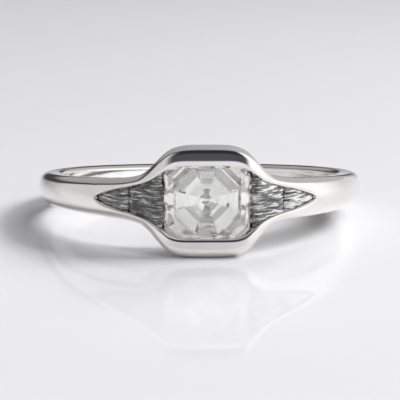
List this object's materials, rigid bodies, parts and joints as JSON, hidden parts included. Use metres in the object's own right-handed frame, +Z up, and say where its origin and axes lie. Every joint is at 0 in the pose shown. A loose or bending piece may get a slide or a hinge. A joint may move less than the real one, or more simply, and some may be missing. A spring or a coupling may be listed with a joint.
{
  "type": "cubic zirconia ring",
  "caption": "Polished white-metal finger ring with a split, half-bezel head holding a square step-cut stone between tapered side stones.",
  "frame": {"origin": "on the surface that the ring lies on, half way between its front and its back and between its sides", "axes": "+Z up from the surface; -Y towards the head and its main stone; X across the finger hole. The finger hole's axis leans 7 degrees from +Z towards +Y, because the head is wider than the band and the ring rests on both"},
  "size_m": [0.02, 0.0218, 0.0065],
  "materials": {
    "polished_metal": "high polish, fine wear scratches",
    "main_stone": "clear faceted cubic zirconia",
    "side_stone": "clear faceted cubic zirconia, darker in its closed seats"
  },
  "bodies": {
    "root": {"band": "polished_metal", "main_stone": "main_stone", "left_inner_stone": "side_stone", "right_inner_stone": "side_stone", "left_outer_stone": "side_stone", "right_outer_stone": "side_stone"}
  },
  "joints": []
}
